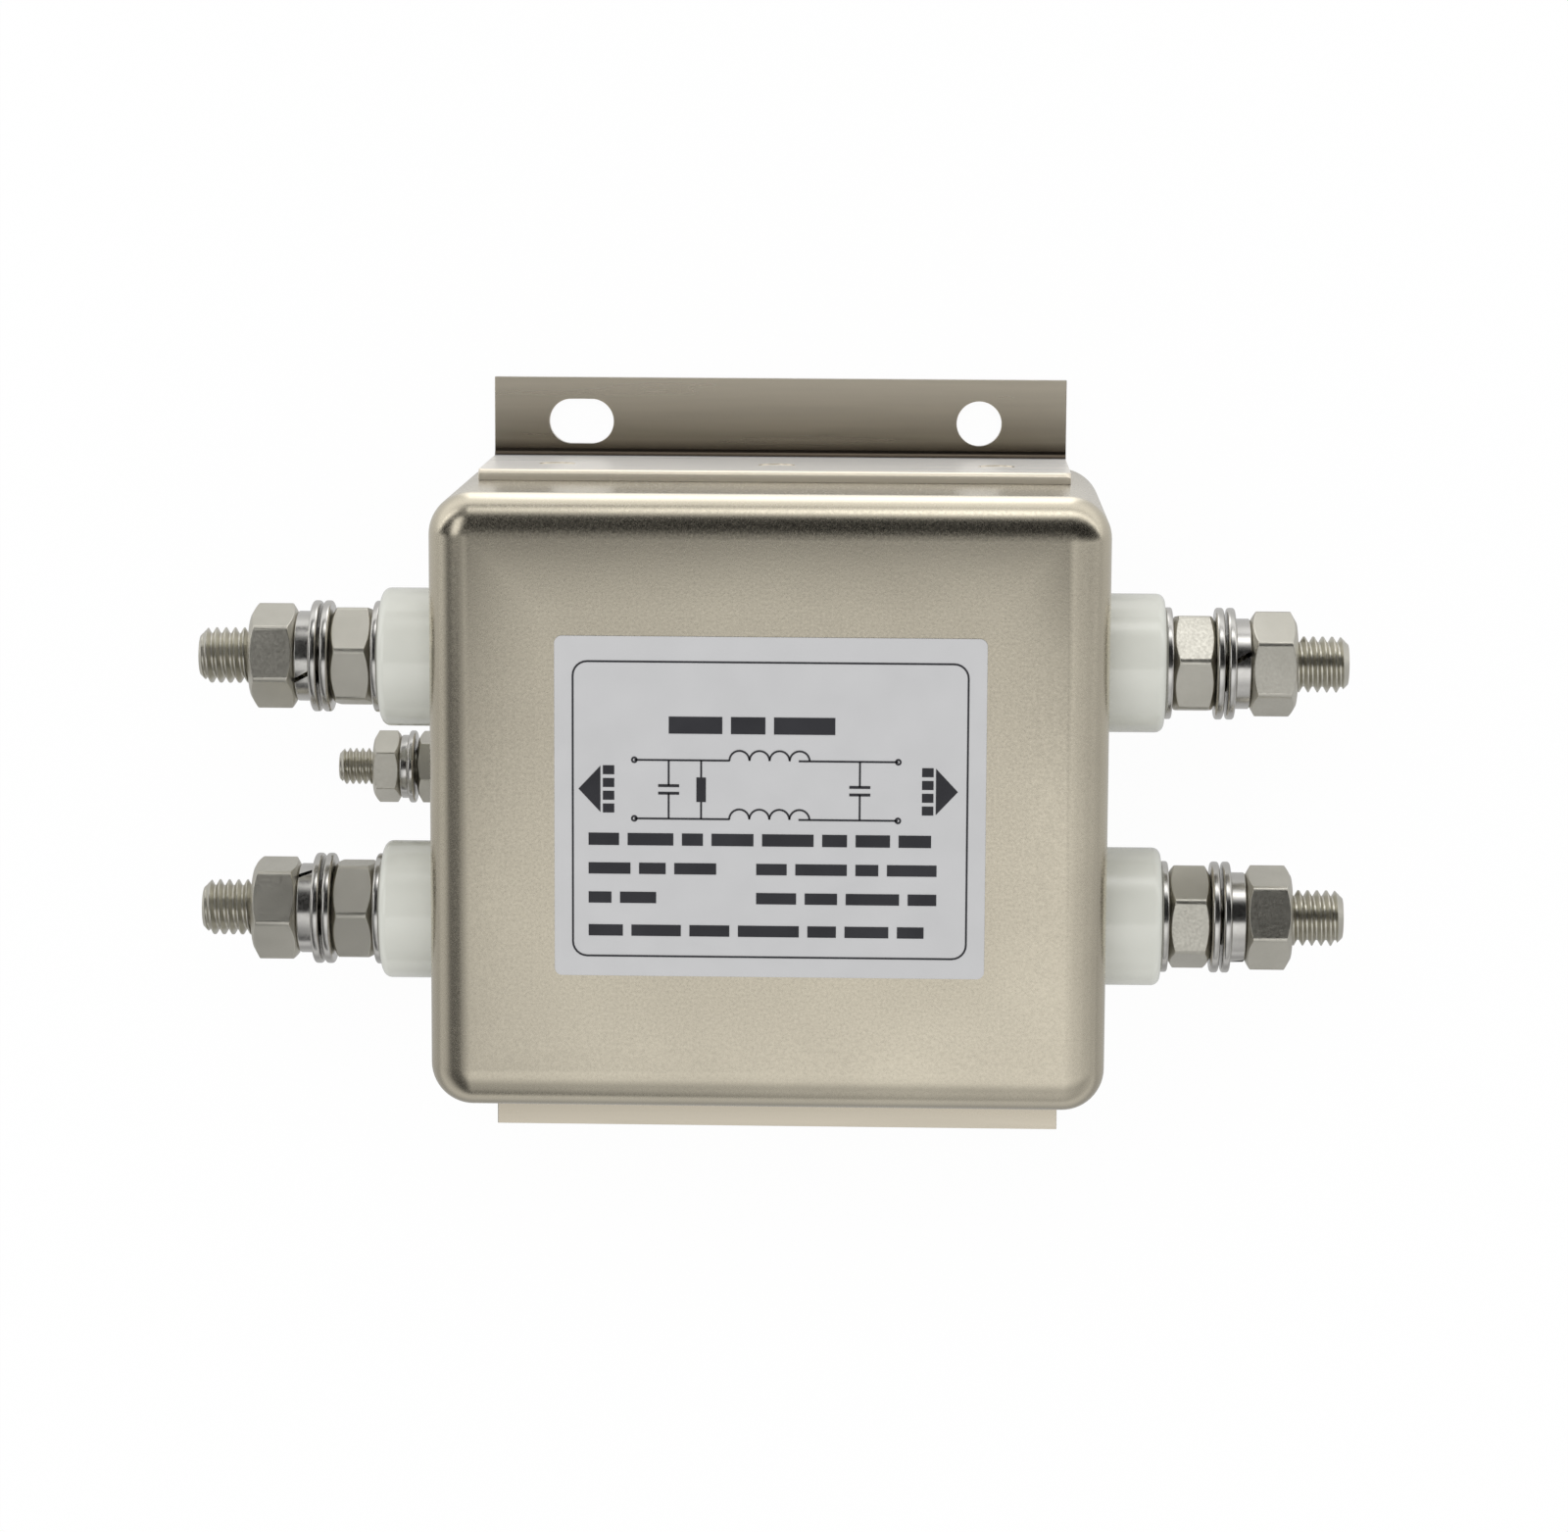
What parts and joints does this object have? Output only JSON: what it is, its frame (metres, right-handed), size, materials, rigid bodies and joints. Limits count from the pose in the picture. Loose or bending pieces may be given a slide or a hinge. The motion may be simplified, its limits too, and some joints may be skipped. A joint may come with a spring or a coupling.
{
  "type": "emi line filter",
  "caption": "Metal-can EMI line filter with threaded terminal studs on two sides, an earth stud, slotted mounting brackets, and the choke and capacitors inside.",
  "frame": {"origin": "centre of the mounting face, on the plane of the two bracket flanges", "axes": "+Z from the mounting face to the label, +X from the line wall with the earth stud to the load wall, +Y towards the bracket whose slot is on the line side"},
  "size_m": [0.1234, 0.0852, 0.0393],
  "materials": {
    "nickel_plated_can": "satin nickel plate, champagne grey",
    "nickel_plated_sheet": "satin nickel plate on folded sheet",
    "label_film": "pale grey printed film",
    "bushing_plastic": "white moulded plastic",
    "nickel_hardware": "bright nickel plate",
    "liner_card": "insulating card",
    "board_laminate": "green laminate",
    "tinned_copper": "tinned copper",
    "enamelled_copper": "enamelled copper wire",
    "lead_insulation": "green insulation",
    "coated_ferrite": "epoxy-coated ferrite",
    "divider_plastic": "natural moulded plastic",
    "film_capacitor": "yellow moulded box",
    "disc_capacitor": "blue dipped coating",
    "resistor_body": "beige lacquer"
  },
  "bodies": {
    "root": {"can": "nickel_plated_can", "pressed_lid": "nickel_plated_sheet", "bracket_upper": "nickel_plated_sheet", "bracket_lower": "nickel_plated_sheet", "label_plate": "label_film", "lid_liner": "liner_card", "component_board": "board_laminate", "stud_line_l": "nickel_hardware", "stud_line_n": "nickel_hardware", "stud_load_l": "nickel_hardware", "stud_load_n": "nickel_hardware", "bushing_line_l": "bushing_plastic", "bushing_line_n": "bushing_plastic", "bushing_load_l": "bushing_plastic", "bushing_load_n": "bushing_plastic", "collar_line_l": "bushing_plastic", "collar_line_n": "bushing_plastic", "collar_load_l": "bushing_plastic", "collar_load_n": "bushing_plastic", "seat_washer_line_l": "nickel_hardware", "seat_washer_line_n": "nickel_hardware", "seat_washer_load_l": "nickel_hardware", "seat_washer_load_n": "nickel_hardware", "lock_nut_line_l": "nickel_hardware", "lock_nut_line_n": "nickel_hardware", "lock_nut_load_l": "nickel_hardware", "lock_nut_load_n": "nickel_hardware", "flat_washers_line_l": "nickel_hardware", "flat_washers_line_n": "nickel_hardware", "flat_washers_load_l": "nickel_hardware", "flat_washers_load_n": "nickel_hardware", "spring_washer_line_l": "nickel_hardware", "spring_washer_line_n": "nickel_hardware", "spring_washer_load_l": "nickel_hardware", "spring_washer_load_n": "nickel_hardware", "outer_nut_line_l": "nickel_hardware", "outer_nut_line_n": "nickel_hardware", "outer_nut_load_l": "nickel_hardware", "outer_nut_load_n": "nickel_hardware", "inner_washers": "nickel_hardware", "inner_lugs": "tinned_copper", "link_wires": "tinned_copper", "earth_stud": "nickel_hardware", "earth_washers": "nickel_hardware", "earth_lock_nut": "nickel_hardware", "earth_spring_washer": "nickel_hardware", "earth_outer_nut": "nickel_hardware", "earth_lug": "tinned_copper", "earth_lead": "lead_insulation", "choke_core": "coated_ferrite", "choke_divider": "divider_plastic", "winding_l": "enamelled_copper", "winding_n": "enamelled_copper", "x_capacitor_line": "film_capacitor", "x_capacitor_load": "film_capacitor", "y_capacitor_l": "disc_capacitor", "y_capacitor_n": "disc_capacitor", "bleeder_resistor": "resistor_body"}
  },
  "joints": []
}
